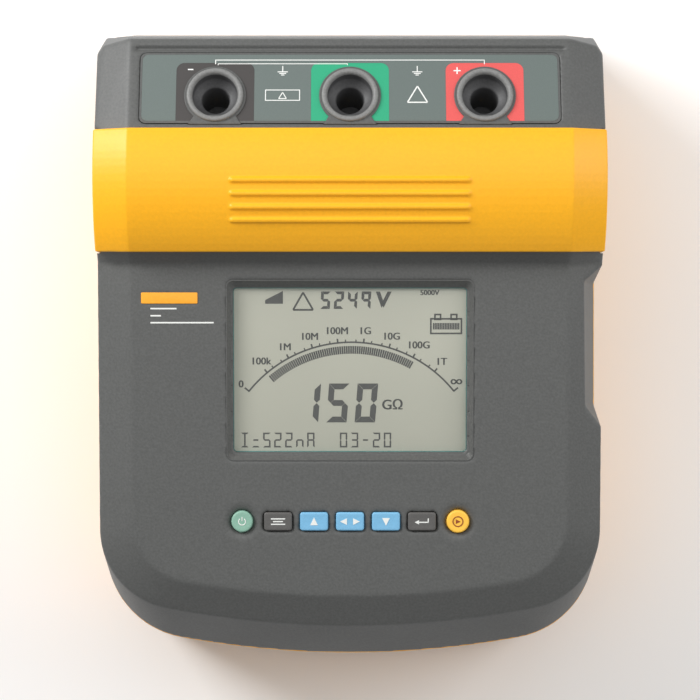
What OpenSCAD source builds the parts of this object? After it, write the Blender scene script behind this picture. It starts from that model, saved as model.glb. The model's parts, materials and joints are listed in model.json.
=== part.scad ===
// Bench insulation resistance tester: two-part case, domed cover band, three shrouded
// test sockets, a display under a clear lens and a row of seven sprung keys.
// Millimetres. The ground is z = 0, x is across the case, +y is the socket end.

/* [Case] */
// Width of the case across its two straight sides
case_width = 242; // [236:1:300]
// Length of the case, front to rear, measured near the ground
case_length = 330; // [322:1:400]
// Height from the ground to the top of the cover ridges
case_height = 170; // [162:1:204]
// Height of the joint between the lower and upper case
parting_height = 98; // [88:1:104]
// Thickness of the case walls
wall = 3; // [2.4:0.1:3.6]
// Radius of the two big front corners, seen from above
front_corner = 45; // [36:1:54]
// Radius of the bowed front edge, seen from above
front_bow = 463; // [380:1:560]
// Height of the rubber feet
foot_height = 3; // [2:0.5:6]

/* [Panel] */
// Slope of the display panel, falling to the front
panel_tilt = 4.3; // [3:0.1:5]
// Width of the display lens
lens_width = 116.4; // [98:0.2:139]
// Length of the display lens, front to rear
lens_length = 85.3; // [72:0.1:86]
// Thickness of the display lens
lens_thickness = 1.8; // [1.4:0.1:2]

/* [Keys] */
// Distance between neighbouring keys
key_pitch = 17.2; // [16.6:0.1:20.6]
// Width of an oblong key
key_width = 13.4; // [11:0.1:13.8]
// Length of an oblong key, front to rear
key_length = 8.75; // [7.4:0.05:10.5]
// Diameter of the round power key
power_diameter = 10.2; // [8.6:0.1:12.2]
// Diameter of the round test key
test_diameter = 10.8; // [9:0.1:12.8]
// How far a key can be pressed
key_travel = 1.5; // [1:0.1:1.7]
// Free space between a key and the edge of its hole
key_clearance = 0.4; // [0.35:0.05:0.6]

/* [Sockets] */
// Distance between neighbouring sockets
socket_pitch = 63.3; // [54:0.1:75]
// Outer diameter of a socket shroud
socket_diameter = 28; // [26:0.5:33]
// Diameter of the wide mouth of a socket
socket_mouth = 21.2; // [19:0.1:23]
// Diameter of the deep bore that takes a shrouded plug
socket_bore = 13; // [11:0.1:15.5]
// Slope of the terminal panel, falling to the rear
terminal_tilt = 16; // [13:0.5:18]

/* [Cover] */
// Length of the cover band, front to rear
cover_length = 57.5; // [48:0.5:62]
// Thickness of the cover band
cover_skin = 2.8; // [2.4:0.1:3.4]
// Length of the four raised ridges
ridge_length = 112; // [94:1:134]

/* [Battery] */
// Width of the battery, across the case
battery_width = 134; // [112:1:138]
// Length of the battery, front to rear
battery_length = 67; // [56:1:72]
// Height of the battery
battery_height = 61; // [51:1:66]

/* [Hidden] */
$fn = 48;
eps = 0.02;
fit = 0.1;
floor_top = foot_height + wall;
half_width = case_width / 2;
case_rear = case_length / 2;
case_front = -case_length / 2;
front_flare = 11.5;
rear_flare = 21.3;
rim_front = case_front + front_flare;
top_rear = case_rear - rear_flare;
reveal = 0.3;
upper_half = half_width - reveal;
rear_corner = 6;

ridge_rise = 1.2;
ridge_root = 0.9;
ridge_lean = 3.4;
ridge_step = 6.17;
cover_radius = 59;
cover_rear = top_rear - 43.8;
cover_front = cover_rear - cover_length;
cover_axis_y = cover_rear - 21.1;
cover_axis_z = case_height - ridge_rise - cover_radius;
seat_radius = cover_radius - cover_skin;
function seat_z(y) = cover_axis_z + sqrt(pow(seat_radius, 2) - pow(y - cover_axis_y, 2));

bevel_width = 17;
bevel_drop = 8.3;
crease_half = half_width - bevel_width;

panel_rear = cover_front - 6.8;
panel_rear_z = case_height - 24;
panel_y = panel_rear - 49.2;
panel_z = panel_rear_z - 49.2 * tan(panel_tilt);
crease_front = rim_front + 31.7;
shoulder_front = rim_front + 16;

terminal_y = top_rear - 28.1;
terminal_z = seat_z(cover_rear) - (terminal_y - cover_rear) * tan(terminal_tilt);
terminal_plate = [case_width - 44.6, 35.4];
terminal_shift = 3.9;
label_size = [case_width - 46.6, 33.4];
label_thickness = 0.4;
tab_width = 36.6;
tab_rear = 16.5;
tab_length = 29.2;
rim_z = terminal_z - (top_rear - terminal_y) * tan(terminal_tilt);
socket_gap = 0.05;
socket_step = 4.3;

window = [lens_width - 5.4, lens_length - 7.3];
gasket_thickness = 0.2;
lens_sink = 0.2;
lens_ledge = lens_sink + lens_thickness + gasket_thickness;

key_row = -72.4;
key_rise = 1.2;
key_flange = 1.3;
key_stop = wall + 0.3;
flange_bottom = key_stop + 1;
plunger_bottom = key_stop + 2.9;
plunger_radius = 2.2;
mat_top = plunger_bottom + key_travel + 0.35;
mat_thickness = 1.2;
collar_height = mat_top - flange_bottom - key_travel - 0.35;
board_top = mat_top + mat_thickness;
board_thickness = 1.6;
board_half = 3 * key_pitch + 18.4;
board_front = key_row - 12;
board_rear = lens_length / 2 + 12;
board_posts = [
    [-board_half + 4, board_rear - 5],
    [board_half - 4, board_rear - 5],
    [-board_half + 4, key_row + 17],
    [board_half - 4, key_row + 17],
    [-board_half + 4, board_front + 4],
    [board_half - 4, board_front + 4],
];

main_board_z = floor_top + 22;
main_size = [152, 150];
main_corner = [-100, -124];
main_posts = [for (x = [6, main_size[0] - 6], y = [6, main_size[1] / 2, main_size[1] - 6]) [x, y]];
charger_size = [34, 92];
charger_corner = [58, -62];
charger_posts = [for (x = [5, charger_size[0] - 5], y = [5, charger_size[1] - 5]) [x, y]];
hv_board_z = floor_top + 10;
hv_size = [61, 78];
hv_corner = [half_width - 80, cover_front + 14];
hv_posts = [for (x = [5, hv_size[0] - 5], y = [5, hv_size[1] - 5]) [x, y]];

battery_corner = [hv_corner[0] - 10 - battery_width, top_rear - 10 - battery_length];
battery_bottom = floor_top + 2;

inlet_y = -3;
inlet_z = 58;
inlet_opening = [27, 20];
inlet_flange = [50, 28];
inlet_depth = 26;
inlet_screw = 20;
inlet_sink = 5.2;
inlet_pad = 4;
window_y = -52;
window_size = [16, 9];

tower_radius = 5.5;
screw_radius = 2;
screw_head = 4;
tower_setback = 11.55;
tower_front = rim_front + tower_setback + front_bow - sqrt(pow(front_bow, 2) - pow(half_width - 44, 2));
towers = [
    [-half_width + 12.5, case_rear - 40],
    [half_width - 12.5, case_rear - 40],
    [-half_width + 12.5, -40],
    [half_width - 12.5, -84],
    [-half_width + 44, tower_front],
    [half_width - 44, tower_front],
];
feet = [for (x = [-1, 1], y = [case_front + 42, case_rear - 30]) [x * (half_width - 30), y]];
foot_radius = 9;
cover_studs = [for (x = [-80, 80], y = [cover_front + 9, cover_rear - 7]) [x, y]];
stud_radius = 3.5;
finger_rear = panel_rear + 1;
finger_length = 78.6;
finger_depth = 8;
finger_lean = 12;
seal_inset = wall + 0.6;
seal_width = 2.4;
seal_bottom = parting_height - 5;
seal_height = 3;
bumper_skin = 1.4;
bumper_reach = 24;

// ---------- helpers ----------

function arc(cx, cy, r, from, to, steps) =
    [for (i = [0:steps]) let (a = from + (to - from) * i / steps) [cx + r * cos(a), cy + r * sin(a)]];

function tail(points) = [for (i = [1:len(points) - 1]) points[i]];

// Outline of the case from above: straight sides, big front corners, bowed front edge.
function plan(half, front, corner, bow, rear, rear_r) =
    let (
        cx = half - corner,
        bow_y = front + bow,
        cy = bow_y - sqrt(pow(bow - corner, 2) - cx * cx),
        turn = 90 - asin(cx / (bow - corner))
    )
    concat(
        arc(half - rear_r, rear - rear_r, rear_r, 90, 0, 4),
        arc(cx, cy, corner, 0, -turn, 16),
        tail(arc(0, bow_y, bow, -turn, turn - 180, 16)),
        tail(arc(-cx, cy, corner, turn - 180, -180, 16)),
        arc(rear_r - half, rear - rear_r, rear_r, 180, 90, 4)
    );

module slab(points, z, h = eps) {
    translate([0, 0, z]) linear_extrude(h) polygon(points);
}

// A box with rounded upright edges, centred on the origin, from z = low to z = high.
module rounded_box(size, r, low, high) {
    translate([0, 0, low]) linear_extrude(high - low) rounded_rectangle(size, r);
}

module rounded_rectangle(size, r) {
    points = concat(
        arc(size[0] / 2 - r, size[1] / 2 - r, r, 0, 90, 5),
        arc(r - size[0] / 2, size[1] / 2 - r, r, 90, 180, 5),
        arc(r - size[0] / 2, r - size[1] / 2, r, 180, 270, 5),
        arc(size[0] / 2 - r, r - size[1] / 2, r, 270, 360, 5)
    );
    polygon(points);
}

// Frame on the display panel: origin at the lens centre on the outer face, +z outward.
module on_panel() {
    translate([0, panel_y, panel_z]) rotate([panel_tilt, 0, 0]) children();
}

// Frame on the terminal panel: origin on the socket row, +z outward, +y falling rearward.
module on_terminals() {
    translate([0, terminal_y, terminal_z]) rotate([-terminal_tilt, 0, 0]) children();
}

// A side profile drawn in y and z, drawn out across the case between x = -half and x = half.
module across(points, half) {
    rotate([90, 0, 90]) translate([0, 0, -half]) linear_extrude(2 * half) polygon(points);
}

module drill(spots, r, low, high) {
    for (p = spots) translate([p[0], p[1], low]) cylinder(r = r, h = high - low);
}

// Pan-head screw whose head rests at z = 0 and whose shank runs up.
module screw(length, r) {
    cylinder(r = r, h = length);
    translate([0, 0, -1.6 * r]) difference() {
        cylinder(r = 2 * r, h = 1.6 * r);
        translate([-1.5 * r, -0.2 * r, -eps]) cube([3 * r, 0.4 * r, 0.6 * r]);
        translate([-0.2 * r, -1.5 * r, -eps]) cube([0.4 * r, 3 * r, 0.6 * r]);
    }
}

// Round wire through a list of points, with a ball at each bend.
module wire(points, r) {
    for (i = [0:len(points) - 2]) {
        run = points[i + 1] - points[i];
        length = norm(run);
        translate(points[i])
            rotate([0, acos(run[2] / length), atan2(run[1], run[0])])
            cylinder(r = r, h = length);
        if (i > 0) translate(points[i]) sphere(r = 1.03 * r);
    }
}

// ---------- lower case ----------

module lower_form(t) {
    hull() {
        slab(plan(half_width - 5 - t, case_front + 5 + t, front_corner - t, front_bow,
            case_rear - 5 - t, rear_corner), foot_height + t);
        slab(plan(half_width - t, case_front + t, front_corner - t, front_bow,
            case_rear - t, rear_corner), foot_height + 5 + t);
        slab(plan(half_width - t, rim_front - reveal + t, front_corner - t, front_bow,
            top_rear + (rim_z - parting_height) * rear_flare / rim_z + reveal - t,
            rear_corner), parting_height - (t > 0 ? 0 : eps));
    }
}

function rim_rear() = top_rear + (rim_z - parting_height) * rear_flare / rim_z;

// A ring that follows the inside of the wall near the joint.
module rim_ring(inset, width, low, high) {
    difference() {
        slab(plan(half_width - inset, rim_front + inset, front_corner - inset, front_bow,
            rim_rear() - inset, rear_corner), low, high - low);
        slab(plan(half_width - inset - width, rim_front + inset + width,
            front_corner - inset - width, front_bow,
            rim_rear() - inset - width, rear_corner), low - 1, high - low + 2);
    }
}

module lower_case() {
    color("#f0a828") difference() {
        union() {
            difference() {
                lower_form(0);
                lower_form(wall);
                slab(plan(half_width - wall, rim_front + wall, front_corner - wall, front_bow,
                    rim_rear() - wall, rear_corner), seal_bottom - 0.5, 10);
            }
            intersection() {
                lower_form(0.5);
                rim_ring(wall - 0.5, 4, seal_bottom - wall, seal_bottom);
            }
            for (p = towers) translate([p[0], p[1], floor_top - 1])
                cylinder(r = tower_radius, h = parting_height - floor_top - 1);
            drill([for (p = main_posts) p + main_corner], 3.5, floor_top - 1, main_board_z);
            drill([for (p = charger_posts) p + charger_corner], 3.5, floor_top - 1, main_board_z);
            drill([for (p = hv_posts) p + hv_corner], 3.5, floor_top - 1, hv_board_z);
            battery_nest();
            on_inlet() rounded_box([inlet_flange[1] + 7, inlet_flange[0] + 7], 4,
                -inlet_pad, inlet_sink - 1);
        }
        for (p = towers) {
            translate([p[0], p[1], -1]) cylinder(r = screw_radius + 0.3, h = parting_height + 2);
            translate([p[0], p[1], -1]) cylinder(r = screw_head + 0.6, h = floor_top + 6);
        }
        for (p = feet) translate([p[0], p[1], 0]) cylinder(r = foot_radius + fit, h = foot_height + 1.5);
        drill([for (p = main_posts) p + main_corner], 1.3, floor_top + 6, main_board_z + 1);
        drill([for (p = charger_posts) p + charger_corner], 1.3, floor_top + 6, main_board_z + 1);
        drill([for (p = hv_posts) p + hv_corner], 1.3, floor_top + 2, hv_board_z + 1);
        on_inlet() {
            rounded_box([inlet_opening[1] + 5, inlet_opening[0] + 5], 3, -inlet_depth, 1);
            rounded_box([inlet_flange[1] + 0.4, inlet_flange[0] + 0.4], 4, 0, inlet_sink + 1);
            for (y = [-inlet_screw, inlet_screw]) translate([0, y, -inlet_pad - 3])
                cylinder(r = 1.6, h = inlet_pad + 4);
        }
        translate([half_width, window_y, inlet_z]) rotate([0, 90, 0])
            rounded_box([window_size[1] + 0.2, window_size[0] + 0.2], 2, -5, 5);
        translate([0, 0, foot_height - 0.1]) rounded_box([90.4, 60.4], 3, -1, 0.5);
        bumper_shape();
    }
}

// The band of wall round the rear end that the bumper fills.
module bumper_shape() {
    difference() {
        lower_form(0);
        lower_form(bumper_skin);
        translate([-half_width - 1, case_front - 1, -1])
            cube([case_width + 2, case_length - bumper_reach + 1, parting_height + 10]);
        translate([-half_width - 1, case_front, -1]) cube([case_width + 2, case_length + 2, foot_height + 9]);
    }
}

// Grey skin round the rear end, which the case can also stand on.
module rear_bumper() {
    color("#8b8c8a") bumper_shape();
}

// Low ribs on the floor that hold the battery in place.
module battery_nest() {
    translate([battery_corner[0] - 3, battery_corner[1] - 3, floor_top - 1]) difference() {
        cube([battery_width + 6, battery_length + 6, 11]);
        translate([2.5, 2.5, battery_bottom - floor_top + 1])
            cube([battery_width + 1, battery_length + 1, 20]);
        translate([12, 12, 1.2]) cube([battery_width - 18, battery_length - 18, 20]);
    }
}

// ---------- upper case ----------

// Body under the display panel; t thins it on all sides to make the hollow.
module front_form(t) {
    low = parting_height - (t > 0 ? 1 : 0);
    along = 1 / cos(panel_tilt);
    join = cover_front + 6;
    hull() {
        slab(plan(upper_half - t, rim_front + t, front_corner - t, front_bow, join, 1), low, 1);
        on_panel() slab(plan(upper_half - t, (shoulder_front - panel_y) * along + t,
            front_corner - 6 - t, front_bow, (join - panel_y) * along, 1), -bevel_drop - t - 1, 1);
        on_panel() slab(plan(crease_half - t / 2, (crease_front - panel_y) * along + t / 2,
            30, front_bow, (join - panel_y) * along, 1), -t - 1, 1);
    }
}

// Side profile of the body under the cover band and the terminal panel.
function rear_profile(t, drop, back) =
    let (r = seat_radius - t, front = cover_front + t)
    concat(
        [[front - 12, parting_height - (t > 0 ? 1 : 0)]],
        [[front - 12, seat_z(cover_front) - t - drop - 14]],
        [for (i = [0:12]) let (y = front + (cover_rear - front) * i / 12)
            [y, cover_axis_z - drop + sqrt(pow(r, 2) - pow(y - cover_axis_y, 2))]],
        [[top_rear - back - 1 - t, rim_z - t - drop + 0.3]],
        [[top_rear - back - t, rim_z - t - drop - 0.7]],
        [[rim_rear() - t, parting_height - (t > 0 ? 1 : 0)]]
    );

module rear_form(t) {
    hull() {
        across(rear_profile(t, 0, 0), crease_half - t / 2);
        across(rear_profile(t, bevel_drop, 2.4), upper_half - rear_corner / 2 - t);
        across([for (p = rear_profile(t, bevel_drop + 2, 6)) p], upper_half - t);
    }
}

// The scoop for a fingertip in the right-hand wall; grow thickens it for the wall behind.
module finger_scoop(grow) {
    front = -finger_length - grow;
    translate([upper_half - grow, finger_rear, parting_height]) rotate([0, -finger_lean, 0])
        translate([0, 0, -5]) linear_extrude(80) polygon([
            [finger_depth, grow],
            [0, grow - finger_depth + 0.5],
            [0, front + finger_depth + 3.5],
            [finger_depth, front],
            [30, front],
            [30, grow],
        ]);
}

module key_shape(index, grow) {
    if (index == 0) circle(r = power_diameter / 2 + grow);
    else if (index == 6) circle(r = test_diameter / 2 + grow);
    else rounded_rectangle([key_width + 2 * grow, key_length + 2 * grow], 1.2 + grow);
}

module at_key(index) {
    translate([(index - 3) * key_pitch, key_row, 0]) children();
}

// Shallow dish round a round key.
module key_dish(index) {
    r = (index == 0 ? power_diameter : test_diameter) / 2;
    translate([0, 0, -1]) cylinder(r1 = r + 1, r2 = r + 3.4, h = 1 + eps);
}

module upper_case() {
    color("#5c5e5d") difference() {
        union() {
            difference() {
                union() {
                    front_form(0);
                    rear_form(0);
                }
                difference() {
                    union() {
                        front_form(wall);
                        rear_form(wall);
                    }
                    finger_scoop(wall);
                    for (x = [-1, 1]) translate([x * (half_width + 30 - 7.2), cover_axis_y, parting_height])
                        cube([60, cover_length + 6, 200], center = true);
                }
            }
            rim_ring(seal_inset, seal_width, seal_bottom + seal_height, parting_height + 2);
            upper_posts();
            on_panel() drill(board_posts, 3.5, -board_top, -1);
        }
        finger_scoop(0);
        cover_pocket();
        drill(cover_studs, stud_radius + 0.3, parting_height + 20, case_height);
        for (p = towers) translate([p[0], p[1], parting_height - 2])
            cylinder(r = screw_radius - 0.3, h = 16);
        on_panel() {
            drill(board_posts, 1.25, -board_top - 1, -wall);
            lens_recess();
            for (i = [0:6]) at_key(i) translate([0, 0, -wall - 1])
                linear_extrude(wall + 2) key_shape(i, key_clearance);
            at_key(0) key_dish(0);
            at_key(6) key_dish(6);
            translate([-85.8, 34.6, -0.6]) rounded_box([27, 5.5], 0.6, 0, 2);
        }
        on_terminals() terminal_recess();
    }
}

// Posts under the roof that take the case screws.
module upper_posts() {
    intersection() {
        drill(towers, tower_radius - 1, parting_height - 1, case_height);
        union() {
            front_form(0.8);
            rear_form(0.8);
        }
    }
}

// Side pockets that let the cover band lie flush over the side walls.
module cover_pocket() {
    for (x = [-1, 1]) translate([x * (half_width + 20 - reveal - cover_skin),
            (cover_front + cover_rear) / 2, case_height / 2 + parting_height / 2])
        cube([40, cover_length + 2 * fit, case_height - parting_height + 20], center = true);
}

module lens_recess() {
    rounded_box([lens_width + 0.6, lens_length + 0.6], 3, -lens_ledge, 1);
    rounded_box(window, 2, -wall - 1, 1);
}

module terminal_recess() {
    translate([0, terminal_shift, 0]) {
        rounded_box(terminal_plate + [2 * fit, 2 * fit], 3, -wall - 6, 5);
        for (i = [-1:1]) translate([i * socket_pitch, -terminal_shift, -wall - 6])
            cylinder(r = socket_diameter / 2 + fit, h = wall + 11);
        translate([0, terminal_plate[1] / 2 + 2.3, 0])
            rounded_box([crease_half * 2 - 4, 2.2], 0.8, -1.6, 5);
    }
}

// ---------- cover band ----------

function cover_profile(r, drop, kink, low) =
    let (front = cover_front + kink)
    concat(
        [[front, low]],
        [for (i = [0:16]) let (y = front + (cover_rear - front) * i / 16)
            [y, cover_axis_z - drop + sqrt(pow(r, 2) - pow(y - cover_axis_y, 2))]],
        [[cover_rear, low]]
    );

module cover_form() {
    low = parting_height + 0.6;
    hull() {
        across(cover_profile(cover_radius, 0, 0, low), crease_half);
        across(cover_profile(cover_radius, bevel_drop, 0.5, low), upper_half);
    }
}

module hump_cover() {
    color("#f7bb3c") {
        difference() {
            cover_form();
            difference() {
                rear_form(0);
                cover_pocket();
            }
        }
        for (i = [0:3])
            translate([0, cover_axis_y, cover_axis_z]) rotate([ridge_lean + i * ridge_step, 0, 0])
                translate([0, 0, cover_radius - ridge_root]) ridge();
        difference() {
            for (p = cover_studs) translate([p[0], p[1], seat_z(p[1]) - 7])
                cylinder(r = stud_radius, h = 7.8);
            for (p = cover_studs) translate([p[0], p[1], seat_z(p[1]) - 8])
                cylinder(r = 1.3, h = 7);
        }
    }
}

// One raised ridge, a long bar with a rounded top and rounded ends.
module ridge() {
    reach = ridge_length / 2 - 1.1;
    rise = ridge_rise + ridge_root;
    translate([-reach, -1.1, 0]) cube([2 * reach, 2.2, rise - 0.4]);
    translate([-reach, -0.7, 0]) cube([2 * reach, 1.4, rise - 0.05]);
    for (x = [-reach, reach]) translate([x, 0, 0]) cylinder(r = 1.1, h = rise - 0.4);
}

// ---------- terminal panel and sockets ----------

module terminal_panel() {
    color("#5c5e5d") on_terminals() difference() {
        union() {
            translate([0, terminal_shift, 0]) rounded_box(terminal_plate, 3, -wall, -label_thickness);
            translate([0, terminal_shift, 0]) difference() {
                rounded_box(terminal_plate, 3, -label_thickness - 0.1, 0);
                translate([0, 0.15, 0]) rounded_box(label_size + [fit, fit], 2.8, -2, 1);
            }
            for (x = [-1, 1]) translate([x * (terminal_plate[0] / 2 - 12), terminal_shift, -wall - 7])
                cylinder(r = 4, h = 8);
        }
        for (i = [-1:1]) translate([i * socket_pitch, 0, -wall - 10])
            cylinder(r = socket_diameter / 2 + socket_gap, h = wall + 12);
    }
}

// Outline of a coloured tab round a socket, rounded at its rear corners.
module tab_shape(grow) {
    half = tab_width / 2 + grow;
    rear = tab_rear + grow;
    r = 3.8 + grow;
    polygon(concat(
        [[-half, tab_rear - tab_length]],
        [[half, tab_rear - tab_length]],
        arc(half - r, rear - r, r, 0, 90, 6),
        arc(r - half, rear - r, r, 90, 180, 6)
    ));
}

module socket_hole_shape() {
    circle(r = socket_diameter / 2 + socket_gap);
}

module terminal_label() {
    color("#7d8782") on_terminals() translate([0, 0, -label_thickness]) linear_extrude(label_thickness)
        difference() {
            translate([0, terminal_shift + 0.15]) rounded_rectangle(label_size, 2.8);
            for (i = [-1:1]) translate([i * socket_pitch, 0]) {
                tab_shape(0.05);
                socket_hole_shape();
            }
        }
}

module label_tab(index) {
    on_terminals() translate([index * socket_pitch, 0, -label_thickness])
        linear_extrude(label_thickness) difference() {
            tab_shape(0);
            socket_hole_shape();
        }
}

module label_tab_black() {
    color("#2c2b2a") label_tab(-1);
}

module label_tab_green() {
    color("#32be82") label_tab(0);
}

module label_tab_red() {
    color("#f55f5f") label_tab(1);
}

// One shrouded socket: a wide mouth that narrows to a deep bore.
module socket(index) {
    outer = socket_diameter / 2;
    mouth = socket_mouth / 2;
    bore = socket_bore / 2;
    color("#2a2a2a") on_terminals() translate([index * socket_pitch, 0, 0]) rotate_extrude() polygon([
        [3.1, -34],
        [outer - 4, -34],
        [outer - 4, -11],
        [outer, -9],
        [outer, 1.2],
        [outer - 0.8, 2],
        [mouth + 1.4, 2],
        [mouth, 0.6],
        [mouth, -socket_step],
        [bore, -socket_step - 2.2],
        [bore, -30],
        [3.1, -30],
    ]);
}

module socket_minus() {
    socket(-1);
}

module socket_guard() {
    socket(0);
}

module socket_plus() {
    socket(1);
}

// The metal contact tube at the bottom of each socket, with its soldering tail.
module socket_contacts() {
    color("#c9a24a") on_terminals() for (i = [-1:1]) translate([i * socket_pitch, 0, 0])
        rotate_extrude() polygon([
            [0, -50],
            [1.2, -50],
            [1.2, -46],
            [3, -46],
            [3, -30.6],
            [2.4, -30],
            [2, -30],
            [2, -42],
            [0, -42],
        ]);
}

module terminal_block() {
    color("#3a3a3c") on_terminals() difference() {
        rounded_box([2 * socket_pitch + 32, 24, 0], 3, -42, -34 - fit);
        for (i = [-1:1]) translate([i * socket_pitch, 0, -50]) cylinder(r = 3.1, h = 20);
    }
}

// ---------- display ----------

module display_lens() {
    color([0.75, 0.85, 0.85, 0.35]) on_panel() union() {
        rounded_box([lens_width, lens_length], 2.8, -lens_sink - lens_thickness, -lens_sink - 0.5);
        rounded_box([lens_width - 1, lens_length - 1], 2.3, -lens_sink - 0.6, -lens_sink);
    }
}

module lens_gasket() {
    color("#1f1f20") on_panel() difference() {
        rounded_box([lens_width, lens_length], 2.8, -lens_ledge, -lens_ledge + gasket_thickness);
        rounded_box(window, 2, -lens_ledge - 1, 0);
    }
}

module lcd_glass() {
    color("#acae9e") on_panel() rounded_box([lens_width - 1, lens_length - 3], 0.5, -wall - 2.8, -wall - 0.6);
}

module lcd_backlight() {
    color("#e8e8e4") on_panel()
        rounded_box([lens_width - 2, lens_length - 12], 0.5, -wall - 5.6, -wall - 2.9);
}

// Frame that carries the glass and the backlight off the front board.
module lcd_holder() {
    outer = [lens_width + 3, lens_length + 1];
    color("#d8d8d2") on_panel() difference() {
        rounded_box(outer, 1, -board_top + fit, -wall - fit);
        rounded_box([lens_width - 0.8, lens_length - 2.8], 0.6, -board_top - 1, 0);
    }
}

module lcd_connectors() {
    color("#3f4246") on_panel() for (y = [-1, 1])
        translate([0, y * (lens_length / 2 - 3.8), 0])
        rounded_box([lens_width - 16, 2.2], 0.3, -board_top + 0.05, -wall - 2.85);
}

// ---------- keys ----------

module keypad_mat() {
    color("#8a8a88") on_panel() {
        translate([0, key_row, 0])
            rounded_box([6 * key_pitch + 16, 15], 2, -board_top + 0.02, -mat_top);
        for (i = [0:6]) at_key(i) difference() {
            translate([0, 0, -mat_top - 0.1]) cylinder(r = plunger_radius + 1.6, h = collar_height + 0.1);
            translate([0, 0, -mat_top]) cylinder(r = plunger_radius + 0.4, h = collar_height + 1);
        }
    }
}

module key(index) {
    on_panel() at_key(index) {
        translate([0, 0, -key_stop - 0.1]) linear_extrude(key_stop + key_rise - 0.4) key_shape(index, 0);
        translate([0, 0, key_rise - 0.6]) linear_extrude(0.6) key_shape(index, -0.5);
        translate([0, 0, -flange_bottom]) linear_extrude(1) key_shape(index, key_flange);
        translate([0, 0, -plunger_bottom]) cylinder(r = plunger_radius, h = 2);
    }
}

module key_power() {
    color("#73a58c") key(0);
}

module key_function() {
    color("#5a5755") key(1);
}

module key_up() {
    color("#6cb6e6") key(2);
}

module key_left_right() {
    color("#6cb6e6") key(3);
}

module key_down() {
    color("#6cb6e6") key(4);
}

module key_enter() {
    color("#5a5755") key(5);
}

module key_test() {
    color("#fdb22d") key(6);
}

// ---------- boards and what they carry ----------

module front_board() {
    color("#2f6b4a") on_panel() difference() {
        translate([-board_half, board_front, -board_top - board_thickness])
            cube([2 * board_half, board_rear - board_front, board_thickness]);
        drill(board_posts, 1.5, -board_top - 5, 0);
    }
}

module front_board_screws() {
    color("#b8bcc0") on_panel() for (p = board_posts)
        translate([p[0], p[1], -board_top - board_thickness]) screw(7, 1.2);
}

module flat_board(corner, size, z, spots) {
    color("#2f6b4a") translate([corner[0], corner[1], z]) difference() {
        cube([size[0], size[1], board_thickness]);
        drill(spots, 1.7, -1, 5);
    }
}

module main_board() {
    flat_board(main_corner, main_size, main_board_z, main_posts);
}

module charger_board() {
    flat_board(charger_corner, charger_size, main_board_z, charger_posts);
}

module hv_board() {
    flat_board(hv_corner, hv_size, hv_board_z, hv_posts);
}

module board_screws() {
    color("#b8bcc0") {
        board_screw_set(main_corner, main_posts, main_board_z);
        board_screw_set(charger_corner, charger_posts, main_board_z);
        board_screw_set(hv_corner, hv_posts, hv_board_z);
    }
}

module board_screw_set(corner, spots, z) {
    for (p = spots) translate([corner[0] + p[0], corner[1] + p[1], z + board_thickness])
        rotate([180, 0, 0]) screw(8, 1.25);
}

module control_chips() {
    top = main_board_z + board_thickness;
    color("#26272a") for (p = [[-60, -40, 20], [-60, -80, 14], [-20, -95, 10], [18, -60, 12]])
        translate([p[0], p[1], top]) cube([p[2], p[2], 2.4]);
}

module capacitors() {
    top = main_board_z + board_thickness;
    color("#2d3550") for (i = [0:3]) translate([24 + (i % 2) * 14, -20 + floor(i / 2) * 14, top])
        cylinder(r = 5, h = 21);
}

module buzzer() {
    color("#232323") translate([-78, -98, main_board_z + board_thickness]) difference() {
        cylinder(r = 9, h = 11);
        translate([0, 0, 6]) cylinder(r = 1.5, h = 10);
    }
}

module fuse_holder() {
    color("#3c3c40") translate([-80, 2, main_board_z + board_thickness]) {
        cube([30, 10, 4]);
        for (x = [0, 26]) translate([x, 0, 3.5]) cube([4, 10, 7]);
        translate([3.5, 5, 7.5]) rotate([0, 90, 0]) cylinder(r = 2.6, h = 23);
    }
}

module on_hv_board() {
    translate([hv_corner[0], hv_corner[1], hv_board_z + board_thickness]) children();
}

module hv_transformer_core() {
    color("#45484c") on_hv_board() translate([10, 8, 0]) difference() {
        cube([44, 18, 38]);
        for (x = [8, 27]) translate([x, -1, 8]) cube([9, 20, 22]);
    }
}

module hv_transformer_coil() {
    color("#b87a32") on_hv_board() translate([32, 17, 8.2]) difference() {
        rounded_box([24, 34], 6, 0, 21.6);
        translate([-5.1, -9.2, -1]) cube([10.2, 18.4, 30]);
        for (x = [-15, 9.6]) translate([x, -20, -1]) cube([5.4, 40, 30]);
    }
}

module hv_multiplier() {
    color("#2b2d33") on_hv_board() translate([8, 38, 0]) rounded_box_at([22, 32], 24);
}

module hv_relays() {
    color("#d9d4c4") on_hv_board() for (i = [0:1]) translate([36, 38 + i * 17, 0]) cube([24, 13, 20]);
}

module rounded_box_at(size, height) {
    translate([size[0] / 2, size[1] / 2, 0]) rounded_box(size, 2, 0, height);
}

module charger_transformer() {
    color("#d6b44a") translate([charger_corner[0] + 4, charger_corner[1] + 12, main_board_z + board_thickness])
        difference() {
            rounded_box_at([26, 30], 24);
            translate([3, -1, 18]) cube([20, 6, 10]);
        }
}

// ---------- battery ----------

module battery() {
    color("#33353a") translate([battery_corner[0], battery_corner[1], battery_bottom + 0.05]) difference() {
        cube([battery_width, battery_length, battery_height]);
        translate([6, 6, battery_height - 1]) cube([battery_width - 12, battery_length - 26, 2]);
    }
}

module battery_tabs() {
    color("#c8b48a") for (x = [14, battery_width - 20])
        translate([battery_corner[0] + x, battery_corner[1] + battery_length - 12,
            battery_bottom + battery_height + 0.05]) {
            cube([6, 5, 0.8]);
            cube([0.8, 5, 7]);
        }
}

module battery_strap() {
    middle = battery_corner[0] + battery_width / 2;
    color("#a9adb2") translate([middle - 8, battery_corner[1] - 4, floor_top + 10.1]) difference() {
        cube([16, battery_length + 8, battery_bottom + battery_height - floor_top - 8.6]);
        translate([-1, 3.6, -1]) cube([20, battery_length + 0.8, battery_bottom + battery_height - floor_top - 8.9]);
    }
}

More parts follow.
